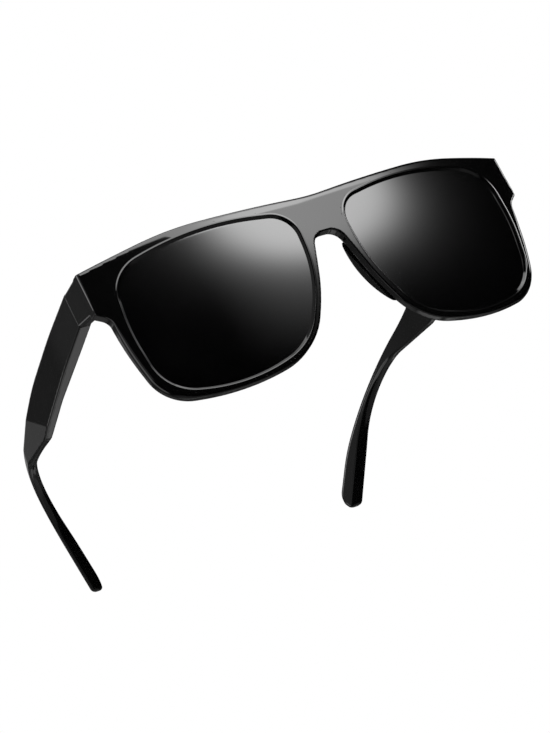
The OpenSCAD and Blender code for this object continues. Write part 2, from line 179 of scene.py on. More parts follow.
class TempleSizes(bpy.types.PropertyGroup):
    """Sizes of the temples, as in the CAD source, and their roundings and flat."""
    temple_reach: length("Reach", "From the bridge's face back to the tips", 146.4)
    temple_h: length("Height", "Height of a temple at its joint", 11.4)
    temple_t: length("Thickness", "Thickness of a temple past its hinge", 3)
    broad_h: length("Broad height", "Height of a temple at its step", 12.2)
    temple_mid_y: length("Bend place", "Depth of the top edge's gentle bend", 75)
    mid_drop: length("Bend drop", "Drop of the top edge from the joint to that bend", 4.8)
    ear_y: length("Ear bend place", "Depth of the ear bend", 128)
    ear_drop: length("Ear bend drop", "Drop of the top edge from the joint to the ear bend", 15.85)
    tail_h: length("Ear height", "Height of a temple at the ear bend", 4.7)
    tip_h: length("Tip height", "Height of a temple at its tip", 4.6)
    tip_inset: length("Tip inset", "How far the tips turn in", 23.5)
    seam_gap: length("Joint gap", "Play between a temple's end and the end piece", 0.15)
    arm_r: length("Arm edge", "Rounding of the broad part's long edges", 0.6)
    tail_r: length("Tail edge", "Rounding of the slim tail's long edges", 1.35)
    seam_r: length("Joint edge", "Rounding of the edges at the joint", 0.04)
    facet_turn: angle("Facet", "How far the flat behind the broad part turns in", 6)


class HingeSizes(bpy.types.PropertyGroup):
    """Sizes of the hinge recesses, as in the CAD source."""
    barrel_d: length("Barrel", "Diameter of the hinge barrel", 3.2)
    barrel_h: length("Barrel height", "Height of the whole barrel", 6.3)
    barrel_room: length("Barrel room", "Gap between a barrel and the walls beside it", 0.2)
    leaf_l: length("Leaf length", "Length of a hinge leaf along the wall", 7.6)
    leaf_sink: length("Leaf recess", "How deep a leaf lies in the wall", 0.4)
    fix_play: length("Fit", "Play round a fixed leaf", 0.02)


class FinishColours(bpy.types.PropertyGroup):
    """Colours of the finishes, each with the one that clouds or marks it."""
    acetate: colour("Acetate", "Colour of the frame", (0.0012, 0.0012, 0.001236))
    acetate_cloud: colour("Acetate cloud", "Colour of its clouds", (0.00156, 0.00156, 0.001596))
    lens: colour("Lens", "Colour of the lenses", (0.0008, 0.0008, 0.0009))
    lens_film: colour("Lens film", "Colour of the film on them", (0.0014, 0.0014, 0.0015))
    hinge: colour("Hinge", "Colour of the hinges and rivets", (0.74, 0.74, 0.7548))
    hinge_mark: colour("Hinge marks", "Colour of their fine marks", (0.6364, 0.6438, 0.6586))
    wire: colour("Wire", "Colour of the wire cores", (0.66, 0.66, 0.6732))
    wire_mark: colour("Wire marks", "Colour of their fine marks", (0.5676, 0.5742, 0.5874))
    floor: colour("Floor", "Colour of the floor", (0.8, 0.8, 0.8))
    floor_cloud: colour("Floor cloud", "Colour of its clouds", (0.82, 0.82, 0.82))


class StageSettings(bpy.types.PropertyGroup):
    """Where the camera stands, and the light round the sunglasses."""
    camera_at: FloatVectorProperty(
        name="Camera place", description="Where the camera stands",
        default=(-0.49055207, -0.89059024, -0.31397837), size=3, unit="LENGTH", subtype="XYZ")
    camera_right: FloatVectorProperty(
        name="Camera right", description="Direction across the picture, to its right",
        default=(0.84938779, -0.30846169, -0.42824264), size=3, subtype="DIRECTION")
    camera_up: FloatVectorProperty(
        name="Camera up", description="Direction up the picture",
        default=(0.25667655, -0.46755548, 0.84587766), size=3, subtype="DIRECTION")
    focal_pixels: FloatProperty(
        name="Focal length", description="Distance to the picture, in its own pixels",
        default=3500, subtype="PIXEL")
    picture_h: IntProperty(name="Picture height", description="Height of the picture in pixels",
                           default=733, subtype="PIXEL")
    tent_r: length("Tent radius", "Radius of the light tent", 4000)
    floor_w: length("Floor width", "Width of the pale floor", 5000)
    ambient: FloatProperty(name="Ambient", description="Level of the light from all round",
                           default=0.62)
    key_power: FloatProperty(name="Key light", description="Power of the soft light above",
                             default=16, unit="POWER")


# Outlines and distance fields. All of these work in millimetres, with y measured from the
# bridge's face, and a distance is below zero inside a solid.

def unit(v):
    """The direction of a vector."""
    return v / np.linalg.norm(v)


def left_of(v):
    """A plane vector, turned a quarter to the left."""
    return np.array([-v[1], v[0]])


class Outline:
    """A closed outline of straight lines and arcs, from corners (x, y, radius)."""

    def __init__(self, corners):
        at = np.array([c[:2] for c in corners], float)
        radius = np.array([c[2] for c in corners], float)
        n = len(at)
        to_last = [unit(at[i - 1] - at[i]) for i in range(n)]
        to_next = [unit(at[(i + 1) % n] - at[i]) for i in range(n)]
        half = np.array([math.acos(max(-1, min(1, a @ b))) / 2 for a, b in zip(to_last, to_next)])
        # Arcs that would run into each other shrink until they fit.
        run = radius / np.tan(half)
        room = np.array([min(1, 0.98 * np.linalg.norm(at[(i + 1) % n] - at[i])
                             / (run[i] + run[(i + 1) % n] + 0.001)) for i in range(n)])
        radius = radius * np.minimum(room, np.roll(room, 1))
        run = radius / np.tan(half)
        area = sum(a[0] * b[1] - a[1] * b[0] for a, b in zip(at, np.roll(at, -1, 0)))
        self.turn = 1 if area > 0 else -1
        self.arcs = []
        self.lines = []
        for i in range(n):
            a, b = to_last[i], to_next[i]
            bend = -(a[0] * b[1] - a[1] * b[0]) * self.turn
            inward = unit(a + b)
            middle = at[i] + inward * radius[i] / math.sin(half[i])
            span = math.pi / 2 - half[i]
            # An arc's middle, radius, the way it faces, which is to its corner, the cosine of half
            # its span, the side that it bends to, its two ends, and half its span
            self.arcs.append((middle, radius[i], -inward, math.cos(span), 1 if bend > 0 else -1,
                              at[i] + a * run[i], at[i] + b * run[i], span))
            k = (i + 1) % n
            self.lines.append((at[i] + b * run[i], at[k] + to_last[k] * run[k]))

    def distance(self, u, v):
        """Signed distance of the places (u, v)."""
        u, v = np.broadcast_arrays(u, v)
        best = np.full(u.shape, 1e6)
        for start, end in self.lines:
            along = end - start
            size = np.linalg.norm(along)
            along = along / size
            du, dv = u - start[0], v - start[1]
            t = du * along[0] + dv * along[1]
            off = (du * along[1] - dv * along[0]) * self.turn
            near = (t >= -1e-9) & (t <= size + 1e-9) & (np.abs(off) < np.abs(best))
            best = np.where(near, off, best)
        for middle, radius, facing, limit, sign, *_ in self.arcs:
            du, dv = u - middle[0], v - middle[1]
            reach = np.sqrt(du * du + dv * dv)
            off = sign * (reach - radius)
            near = (du * facing[0] + dv * facing[1] >= limit * reach - 1e-9) & \
                (np.abs(off) < np.abs(best))
            best = np.where(near, off, best)
        return best

    def walk(self, step):
        """Points round the outline about a step apart, each with its outward normal."""
        places, normals = [], []
        for i, (middle, radius, facing, _, sign, start, end, span) in enumerate(self.arcs):
            count = max(4, int(2 * span * radius / step)) if radius > 0 else 0
            first, last = start - middle, end - middle
            base = math.atan2(*first[::-1]) if radius > 0 else 0
            cross = first[0] * last[1] - first[1] * last[0]
            for k in range(count):
                turned = base + math.copysign(2 * span * k / count, cross)
                out = np.array([math.cos(turned), math.sin(turned)])
                places.append(middle + radius * out)
                normals.append(sign * out)
            a, b = self.lines[i]
            along = b - a
            size = np.linalg.norm(along)
            count = max(1, int(size / step))
            for k in range(count):
                places.append(a + along * k / count)
                normals.append(-left_of(along / size) * self.turn)
        return np.array(places), np.array(normals)


def both(a, b, r):
    """What lies in both solids, with its edge rounded to radius r."""
    return (np.minimum(np.maximum(a, b) + r, 0)
            + np.hypot(np.maximum(a + r, 0), np.maximum(b + r, 0)) - r)


def either(a, b, r):
    """What lies in either solid, with its inner corner filled to radius r."""
    return -both(-a, -b, r)


def eased(corners, steps=10):
    """Places along an open path with rounded corners, each with the normal on its left."""
    at = [np.array(c[:2], float) for c in corners]
    places = []
    for i, corner in enumerate(corners):
        if i in (0, len(corners) - 1):
            along = unit(at[1] - at[0]) if i == 0 else unit(at[-1] - at[-2])
            places.append((at[i], left_of(along)))
            continue
        a, b = unit(at[i - 1] - at[i]), unit(at[i + 1] - at[i])
        half = math.acos(a @ b) / 2
        middle = at[i] + unit(a + b) * corner[2] / math.sin(half)
        first, last = left_of(-a), left_of(b)
        sign = 1 if (at[i] - middle) @ (first + last) > 0 else -1
        for k in range(steps + 1):
            out = unit(first * (1 - k / steps) + last * (k / steps))
            places.append((middle + sign * out * corner[2], out))
    return places


def smooth(x, low, high):
    """0 below low and 1 above high, with an eased way between them."""
    t = np.clip((x - low) / (high - low), 0, 1)
    return t * t * (3 - 2 * t)


def graded(low, high, step, seam=None):
    """Grid places from low to high, closer together round a temple joint."""
    if seam is None:
        return np.arange(low, high + step, step)
    a, b = seam - SEAM_REACH, seam + SEAM_REACH
    parts = [np.arange(a, b, SEAM_CELL), np.arange(b, high + step, step)]
    if a > low:
        parts.insert(0, np.arange(a, low - step, -step)[:0:-1])
    return np.concatenate(parts)


def surface_net(field, axes):
    """Vertices and faces of the surface where a distance field is zero."""
    value = field(axes[0][:, None, None], axes[1][None, :, None], axes[2][None, None, :])
    value = np.ascontiguousarray(np.broadcast_to(value, [len(a) for a in axes]), dtype=np.float64)
    inside = value < 0
    count = np.zeros([len(a) - 1 for a in axes], np.int8)
    corners = [(i, j, k) for i in (0, 1) for j in (0, 1) for k in (0, 1)]
    nx, ny, nz = count.shape
    for i, j, k in corners:
        count += inside[i:nx + i, j:ny + j, k:nz + k]
    cells = np.argwhere((count > 0) & (count < 8))
    index = np.full(count.shape, -1, np.int64)
    index[tuple(cells.T)] = np.arange(len(cells))
    total = np.zeros((len(cells), 3))
    crossings = np.zeros(len(cells))
    for a in corners:
        for axis in range(3):
            if a[axis]:
                continue
            b = tuple(1 if i == axis else a[i] for i in range(3))
            va = value[tuple((cells + a).T)]
            vb = value[tuple((cells + b).T)]
            cut = (va < 0) != (vb < 0)
            t = np.where(cut, va / np.where(cut, va - vb, 1), 0)
            place = cells + np.array(a, float)
            place[:, axis] += t
            total[cut] += place[cut]
            crossings[cut] += 1
    total /= crossings[:, None]
    verts = np.stack([np.interp(total[:, i], np.arange(len(a)), a) for i, a in enumerate(axes)], 1)
    faces = []
    for axis in range(3):
        u, v = (axis + 1) % 3, (axis + 2) % 3
        first = np.take(inside, range(inside.shape[axis] - 1), axis)
        second = np.take(inside, range(1, inside.shape[axis]), axis)
        points = np.argwhere(first != second)
        across = points[:, [u, v]]
        points = points[((across > 0) & (across < np.array(inside.shape)[[u, v]] - 1)).all(1)]
        du, dv = np.eye(3, dtype=int)[u], np.eye(3, dtype=int)[v]
        quad = np.stack([index[tuple((points - s * du - t * dv).T)]
                         for s, t in ((0, 0), (1, 0), (1, 1), (0, 1))], 1)
        out = first[tuple(points.T)]
        quad[~out] = quad[~out][:, ::-1]
        faces.append(quad)
    return verts, np.concatenate(faces)


def gradient(field, places, step=0.01):
    """How fast a field grows along each axis."""
    slope = np.empty_like(places)
    for axis in range(3):
        nudge = np.zeros(3)
        nudge[axis] = step
        a, b = places + nudge, places - nudge
        slope[:, axis] = (field(*a.T) - field(*b.T)) / (2 * step)
    return slope


def settle(field, places, rounds=3):
    """Moves places onto the surface of a field in short steps, and gives its normals there."""
    for _ in range(rounds):
        slope = gradient(field, places)
        size = np.maximum((slope * slope).sum(1), 0.2)
        places = places - slope * (np.clip(field(*places.T), -0.2, 0.2) / size)[:, None]
    slope = gradient(field, places)
    return places, slope / np.maximum(np.linalg.norm(slope, axis=1), 1e-9)[:, None]


def sizes_of(group):
    """Names of a property group's own properties."""
    return [name for name in group.bl_rna.properties.keys() if name not in ("name", "rna_type")]


class Shape:
    """The sunglasses' outlines and solids, worked out from the sizes.

    The outlines follow the CAD source. Of each pair, the solid is the one on the wearer's left.
    """

    def __init__(self, scene):
        for group in (scene.shades_front, scene.shades_lens, scene.shades_pad,
                      scene.shades_hinge, scene.shades_temple):
            for name in sizes_of(group):
                value = getattr(group, name)
                setattr(self, name, value if name in ANGLES else value / MM)
        # The frame's origin lies halfway from the bridge's face to the tips.
        self.front_y = -self.temple_reach / 2
        self.nose_x = self.bridge_w / 2
        self.outer_x = self.nose_x + self.lens_w
        self.half_w = self.outer_x + self.rim_side_w + self.corner_out
        self.rim_low_z = -FOOT_CUT
        self.lens_low_z = self.rim_low_z + self.rim_low_w
        self.lens_top_z = self.lens_low_z + self.lens_h
        self.brow_z = self.lens_top_z + self.rim_top_w
        self.bridge_top_z = self.brow_z - self.brow_dip
        self.bridge_low_z = self.bridge_top_z - self.bridge_h
        self.corner_top_z = self.brow_z - self.corner_drop
        self.corner_low_z = self.corner_top_z - self.corner_h
        self.seam_top_z = self.corner_top_z + SEAM_RISE
        self.seam_low_z = self.seam_top_z - self.temple_h
        self.ball_z = self.brow_z - BALL_DROP
        self.back_z = self.ball_z - ((self.front_t - self.low_t) * (self.front_r - self.front_t)
                                     / self.bridge_top_z)
        self.hinge_z = (self.seam_top_z + self.seam_low_z) / 2
        self.leaf_start = self.barrel_d / 2 + self.barrel_room
        self.lens_outline()
        self.front_outline()
        self.end_outlines()
        self.temple_outlines()

    def lens_outline(self):
        """The opening for a lens, seen from ahead."""
        x0, x1, low, top = self.nose_x, self.outer_x, self.lens_low_z, self.lens_top_z
        mid = (x0 + x1) / 2
        self.lens = Outline([
            (x0 - 0.4, top - 4, 8.7), (mid, top + 1.8, 100), (x1 - 1.2, top - 3, 11.5),
            (x1 + 0.4, low + 25, 50), (x1 - 2.5, low + 5, 15), (mid + 3, low - 1.9, 49),
            (x0 + 10.8, low + 3.6, 18.5), (x0 + 0.5, low + 22.3, 44)])
        self.lens_middle = np.array([mid, (low + top) / 2])

    def front_outline(self):
        """The whole front, seen from ahead."""
        nose, outer, side_w, nose_w = self.nose_x, self.outer_x, self.rim_side_w, self.rim_nose_w
        low, rim_low = self.lens_low_z, self.rim_low_z
        mid = self.lens_middle[0]
        half = [
            (self.brow_x, self.brow_z, 112), (self.half_w, self.corner_top_z, 0.4),
            (self.half_w, self.corner_low_z, 0.8),
            (outer + side_w + 0.6, self.corner_low_z - 3, 5), (outer + side_w, low + 21, 96),
            (outer + side_w - 4.7, rim_low + 4.1, 14.5), (mid + 4.6, rim_low - 1.2, 68),
            (nose + 12.4 - nose_w, rim_low + 2.6, 21.5), (nose + 4 - nose_w, low + 17, 66),
            (nose - 1.3 - nose_w, self.bridge_low_z, 4.4)]
        mirrored = [(-x, z, r) for x, z, r in reversed(half)]
        self.front = Outline([(0, self.bridge_top_z, 60)] + half + mirrored)

    def end_outlines(self):
        """Plan and side view of an end piece, drawn on past the joint."""
        inner, past = self.half_w - self.wall_t, self.seam_y + PAST_SEAM
        wall_y = self.seam_y - (self.leaf_start + WALL_RUN)
        rise = PAST_SEAM / (self.seam_y - SLOPE_Y)
        self.end_plan = Outline([
            (self.half_w, -PAST_FACE, 0), (self.half_w, past, 0),
            (inner, past, 0), (inner, wall_y, 3),
            (inner - WEB_W, wall_y - WEB_L, 0), (inner - WEB_W, -PAST_FACE, 0)])
        self.end_side = Outline([
            (-PAST_FACE, self.corner_low_z, 0), (SLOPE_Y, self.corner_low_z, 4),
            (past, self.seam_low_z + (self.seam_low_z - self.corner_low_z) * rise, 0),
            (past, self.seam_top_z + (self.seam_top_z - self.corner_top_z) * rise, 0),
            (SLOPE_Y, self.corner_top_z, 4), (-PAST_FACE, self.corner_top_z, 0)])

    def temple_outlines(self):
        """Plan and side view of a temple, drawn on past its joint."""
        self.temple_y = self.seam_y + self.seam_gap
        step_y, tail_y = self.ear_y - STEP_RUN, self.ear_y - TAIL_RUN
        top, low, mid_y = self.seam_top_z, self.seam_low_z, self.temple_mid_y
        mid_z, ear_z = top - self.mid_drop, top - self.ear_drop
        ear = np.array([self.ear_y, ear_z])
        arm_run = unit(ear - np.array([mid_y, mid_z]))
        tail_run = unit(np.array([self.temple_reach, TIP_TOP]) - ear)
        step_top = mid_z + (step_y - mid_y) * arm_run[1] / arm_run[0]
        ear_low = ear - (self.tail_h * (left_of(arm_run) + left_of(tail_run))
                         / (1 + arm_run @ tail_run))
        tip_low_y = self.ear_y + (ear_z * tail_run[0] - self.tip_h) / -tail_run[1]
        front = self.temple_y - PAST_SEAM
        first = unit(np.array([mid_y - self.temple_y, mid_z - top]))
        last = unit(np.array([step_y - self.temple_y, step_top - self.broad_h - low]))
        self.temple_side = Outline([
            (front, top - PAST_SEAM * first[1] / first[0], 0), (mid_y, mid_z, 124), (*ear, 60),
            (self.temple_reach, TIP_TOP, 6), (self.temple_reach, TIP_FOOT, 3),
            (tip_low_y, -1.7, 1.5), (*ear_low, 44), (tail_y, ear_z - 0.7, 20),
            (step_y, step_top - self.broad_h, 12),
            (front, low - PAST_SEAM * last[1] / last[0], 0)])
        half_w, wall_t, t, y0 = self.half_w, self.wall_t, self.temple_t, self.temple_y
        bend_y, bend_x, tip_x = self.ear_y - BEND_RUN, half_w - BEND_IN, half_w - self.tip_inset
        end_y = self.temple_reach + TIP_PAST
        self.temple_plan = Outline([
            (half_w, front, 0), (half_w, y0 + STRAIGHT_L, 300), (bend_x, bend_y, 90),
            (tip_x - 2, end_y, 0), (tip_x - 2 - t * 1.4, end_y, 0),
            (bend_x - t * 1.05, bend_y - 0.5, 87), (half_w - t - 0.76, y0 + 38, 100),
            (half_w - wall_t, y0 + 12, 30), (half_w - wall_t, front, 0)])
        # The flat's front edge slants across the outside, from its upper to its lower edge.
        upper, lower = (np.array([half_w + (bend_x - half_w) * (y - y0 - STRAIGHT_L)
                                  / (bend_y - y0 - STRAIGHT_L), y, z])
                        for y, z in ((self.ear_y - ahead, z) for ahead, z in FLAT_EDGE))
        edge, turn = lower - upper, self.facet_turn
        tilt = -(edge[0] * math.cos(turn) + edge[1] * math.sin(turn)) / edge[2]
        self.facet = unit(np.array([math.cos(turn), math.sin(turn), tilt])), upper

    def face(self, x, y, z, d=0):
        """Distance ahead of the skin that lies d behind the front's face."""
        return np.sqrt(x * x + (y - self.front_r) ** 2 + (z - self.ball_z) ** 2) - self.front_r + d

    def back(self, x, y, z):
        """Distance behind the front's back."""
        return self.front_r - self.front_t - np.sqrt(
            x * x + (y - self.front_r) ** 2 + (z - self.back_z) ** 2)

    def leaf_box(self, x, y, z, way):
        """The recess of a hinge leaf, ahead of the joint for way -1 and behind it for 1."""
        y = (y - self.seam_y) * way
        y0, y1 = self.leaf_start - self.fix_play, self.leaf_start + self.leaf_l + self.fix_play
        deep = self.half_w - self.wall_t + self.leaf_sink + self.fix_play
        return np.maximum(np.maximum(np.abs(y - (y0 + y1) / 2) - (y1 - y0) / 2, x - deep),
                          np.maximum(np.abs(z - self.hinge_z) - self.barrel_h / 2 - self.fix_play,
                                     deep - LEAF_CUT - x))

    def front_field(self, x, y, z):
        """The front with its end pieces, cut away for the step round each lens."""
        x = np.abs(x)
        face, back = self.face(x, y, z), self.back(x, y, z)
        outline = self.front.distance(x, z)
        # The brow and the rims' outer sides have rounder edges than the rest.
        brow = smooth(z, self.corner_low_z, self.brow_z - BROW_FADE)
        side = smooth(x, *(self.outer_x - d for d in SIDE_FADE)) * (
            1 - smooth(z, *(self.corner_low_z - d for d in LOW_FADE)))
        edge = self.edge_r + (self.brow_r - self.edge_r) * brow
        edge = edge + (self.side_r - self.edge_r) * side
        plate = both(both(outline, face, edge), back, self.back_edge_r)
        ends = both(self.end_plan.distance(x, y), self.end_side.distance(y, z), self.corner_r)
        ends = both(both(ends, face, edge), y - self.seam_y, self.seam_r)
        solid = either(plate, ends, CREASE_R)
        lens = self.lens.distance(x, z)
        solid = both(solid, -lens - self.step_w, LEDGE_R)
        # The lip and step round each lens are a piece of their own, let into the body here.
        step = np.maximum(lens - STEP_OUT, -self.face(x, y, z, self.lens_recess + STEP_DEEP))
        solid = np.maximum(solid, -step)
        solid = np.maximum(solid, -self.leaf_box(x, y, z, -1))
        return np.maximum(solid, -z)

    def temple_field(self, x, y, z):
        """A temple, from the joint to its tip."""
        tail = smooth(y, *(self.ear_y - d for d in TAIL_FADE))
        r = self.arm_r + (self.tail_r - self.arm_r) * tail
        plan = self.temple_plan.distance(x, y)
        # The outside has a flat that turns in behind the broad part.
        across, at = self.facet
        flat = (x - at[0]) * across[0] + (y - at[1]) * across[1] + (z - at[2]) * across[2]
        solid = both(both(plan, flat, CREASE_R), self.temple_side.distance(y, z), r)
        solid = both(solid, self.temple_y - y, self.seam_r)
        solid = np.maximum(solid, -self.leaf_box(x, y, z, 1))
        return np.maximum(solid, -z)

    def pad_field(self, x, y, z):
        """A nose pad, the part of a rounded disc that stands out behind the rim."""
        r = self.pad_w / 2
        disc_r = (self.pad_l ** 2 / 4 + self.pad_depth ** 2) / 2 / self.pad_depth
        lean = self.pad_lean
        mid_x = self.nose_x - self.pad_in + self.pad_l / 2 * math.sin(lean)
        mid_z = self.bridge_low_z - self.pad_drop - self.pad_l / 2 * math.cos(lean)
        back_y = self.front_r - math.sqrt((self.front_r - self.front_t) ** 2 - mid_x ** 2
                                          - (mid_z - self.back_z) ** 2)
        dx, dy, dz = x - mid_x, y - (back_y + self.pad_depth - disc_r), z - mid_z
        across = dx * math.cos(lean) + dz * math.sin(lean)
        along = -dx * math.sin(lean) + dz * math.cos(lean)
        reach = np.hypot(along, dy)
        disc = np.hypot(np.maximum(reach - disc_r + r, 0), across) - r
        return np.maximum(disc, -self.back(x, y, z) + self.fix_play)


# Meshes

def faces_out(verts, faces, normals):
    """The faces, turned round if they face against the normals."""
    verts = np.asarray(verts)
    quads = np.array([f for f in faces if len(f) == 4])
    a, b, c = (verts[quads[:, i]] for i in range(3))
    facing = (np.cross(b - a, c - a) * np.asarray(normals)[quads[:, 0]]).sum()
    return faces if facing > 0 else [tuple(f)[::-1] for f in faces]


def add_mesh(name, verts, faces, normals=None, material=None):
    """A smooth mesh object from places in millimetres in the frame, with normals if given."""
    if normals is not None:
        faces = faces_out(verts, faces, normals)
    mesh = bpy.data.meshes.new(name)
    mesh.vertices.add(len(verts))
    mesh.vertices.foreach_set("co", (np.asarray(verts) * MM).astype(np.float32).ravel())
    sizes = np.array([len(f) for f in faces], np.int32)
    mesh.loops.add(int(sizes.sum()))
    mesh.loops.foreach_set("vertex_index", np.concatenate(faces).astype(np.int32))
    mesh.polygons.add(len(sizes))
    starts = np.concatenate([[0], np.cumsum(sizes)[:-1]])
    mesh.polygons.foreach_set("loop_start", starts.astype(np.int32))
    mesh.polygons.foreach_set("use_smooth", np.ones(len(sizes), bool))
    mesh.update(calc_edges=True)
    mesh.validate()
    if normals is not None:
        mesh.normals_split_custom_set_from_vertices(np.asarray(normals).tolist())
    if material:
        mesh.materials.append(material)
    piece = bpy.data.objects.new(name, mesh)
    bpy.context.scene.collection.objects.link(piece)
    return piece


def placed(shape, verts, side):
    """Places measured from the bridge's face, moved into the frame and to one side."""
    verts = np.array(verts, float)
    verts[:, 0] *= side
    verts[:, 1] += shape.front_y
    return verts


def add_solid(name, shape, field, axes, side, material):
    """A mesh object of the solid that a distance field describes, on one side."""
    verts, faces = surface_net(field, axes)
    verts, normals = settle(field, verts)
    normals = normals * (side, 1, 1)
    return add_mesh(name, placed(shape, verts, side), faces, normals, material)


def grid_faces(rows, columns):
    """Quads between rows of vertices, where each row is a ring."""
    faces = []
    for i in range(rows - 1):
        for k in range(columns):
            a, b = i * columns + k, i * columns + (k + 1) % columns
            faces.append((a, b, b + columns, a + columns))
    return faces


def capped_faces(rows, columns):
    """Those quads, with one face over the first ring and one over the last."""
    last = (rows - 1) * columns
    return grid_faces(rows, columns) + [tuple(range(columns))[::-1],
                                        tuple(range(last, last + columns))]


# Materials. The scale of a noise counts waves in a metre.

class Value:
    """A shader socket that plain arithmetic works on."""

    def __init__(self, shader, socket):
        self.shader, self.socket = shader, socket

    def math(self, operation, *others, flip=False):
        """A Math node on this value and others, in turned order where flip is set."""
        inputs = [self, *others]
        if flip:
            inputs.reverse()
        return self.shader.node("ShaderNodeMath", {"operation": operation}, inputs)

    def __add__(self, other): return self.math("ADD", other)
    def __radd__(self, other): return self.math("ADD", other)
    def __sub__(self, other): return self.math("SUBTRACT", other)
    def __rsub__(self, other): return self.math("SUBTRACT", other, flip=True)
    def __mul__(self, other): return self.math("MULTIPLY", other)
    def __rmul__(self, other): return self.math("MULTIPLY", other)
    def __truediv__(self, other): return self.math("DIVIDE", other)
    def __rtruediv__(self, other): return self.math("DIVIDE", other, flip=True)
    def __pow__(self, other): return self.math("POWER", other)
    def __neg__(self): return self.math("MULTIPLY", -1)

    def ramp(self, low, high):
        """0 below low and 1 above high, with an eased way between them."""
        return self.shader.node("ShaderNodeMapRange", {"interpolation_type": "SMOOTHSTEP"},
                                {"Value": self, "From Min": low, "From Max": high})

    def within(self, low, high, soft_low, soft_high):
        """1 from low to high and 0 outside, with an edge of its own softness at each end."""
        return self.ramp(low - soft_low, low + soft_low) * (
            1 - self.ramp(high - soft_high, high + soft_high))


class Shader:
    """A node tree that is filled by method calls."""

    def __init__(self, tree):
        self.tree = tree
        tree.nodes.clear()

    def node(self, kind, settings=None, inputs=None, output=0):
        """A node of any kind, with its settings, then the values or links of its sockets."""
        node = self.tree.nodes.new(kind)
        for name, value in (settings or {}).items():
            setattr(node, name, value)
        pairs = enumerate(inputs) if isinstance(inputs, (list, tuple)) else (inputs or {}).items()
        for key, value in pairs:
            if isinstance(value, Value):
                self.tree.links.new(value.socket, node.inputs[key])
            else:
                node.inputs[key].default_value = value
        return Value(self, node.outputs[output])

    def mix(self, share, a, b):
        """A colour between a and b."""
        return self.node("ShaderNodeMix", {"data_type": "RGBA"},
                         {0: share, 6: (*a, 1), 7: (*b, 1)}, output=2)

    def places(self):
        """Object coordinates."""
        return self.node("ShaderNodeTexCoord", output=3)

    def noise(self, scale, detail, vector=None):
        """Noise over the object, or over other places."""
        return self.node("ShaderNodeTexNoise", {}, {
            "Scale": scale, "Detail": detail, "Vector": vector or self.places()})

    def bump(self, height, strength, distance):
        """A bump from a height, as deep as the distance in metres."""
        return self.node("ShaderNodeBump", {}, {"Strength": strength, "Distance": distance,
                                                "Height": height})


def new_material(name):
    """An empty material, and the shader that fills it."""
    material = bpy.data.materials.new(name)
    material.use_nodes = True
    return material, Shader(material.node_tree)


def finish_material(shader, surface):
    """Links the surface to the material's output."""
    out = shader.tree.nodes.new("ShaderNodeOutputMaterial")
    shader.tree.links.new(surface.socket, out.inputs["Surface"])


def acetate(name, tones):
    """Polished black acetate, with a faint waviness and a few dull smears."""
    material, s = new_material(name)
    smear = s.noise(90.0, 5.0).ramp(0.45, 0.75)
    cloud = s.noise(35.0, 3.0).ramp(0.3, 0.7)
    wave = s.noise(55.0, 1.0)
    finish_material(s, s.node("ShaderNodeBsdfPrincipled", {}, {
        "Base Color": s.mix(cloud, tones.acetate, tones.acetate_cloud),
        "Roughness": 0.012 + 0.02 * smear, "IOR": 1.5, "Normal": s.bump(wave, 0.05, 0.0004)}))
    return material


def smoke(name, tones):
    """Dark smoke lens, polished, with a thin film."""
    material, s = new_material(name)
    film = s.noise(60.0, 4.0).ramp(0.4, 0.8)
    finish_material(s, s.node("ShaderNodeBsdfPrincipled", {}, {
        "Base Color": s.mix(film, tones.lens, tones.lens_film),
        "Roughness": 0.03 + 0.03 * film, "IOR": 1.84}))
    return material


def steel(name, tone, mark, rough):
    """Satin steel with fine marks along its length."""
    material, s = new_material(name)
    drawn = s.node("ShaderNodeMapping", {}, {"Vector": s.places(), "Scale": (900.0, 90.0, 900.0)})
    marks = s.noise(4.0, 3.0, drawn)
    finish_material(s, s.node("ShaderNodeBsdfPrincipled", {}, {
        "Base Color": s.mix(marks.ramp(0.3, 0.7), mark, tone), "Metallic": 1.0,
        "Roughness": rough + 0.12 * marks, "Normal": s.bump(marks, 0.15, 0.0001)}))
    return material


def shared_material(name, make, context):
    """A material that several pieces have, made once."""
    return bpy.data.materials.get(name) or make(name, context.scene.shades_finish)


# Operators

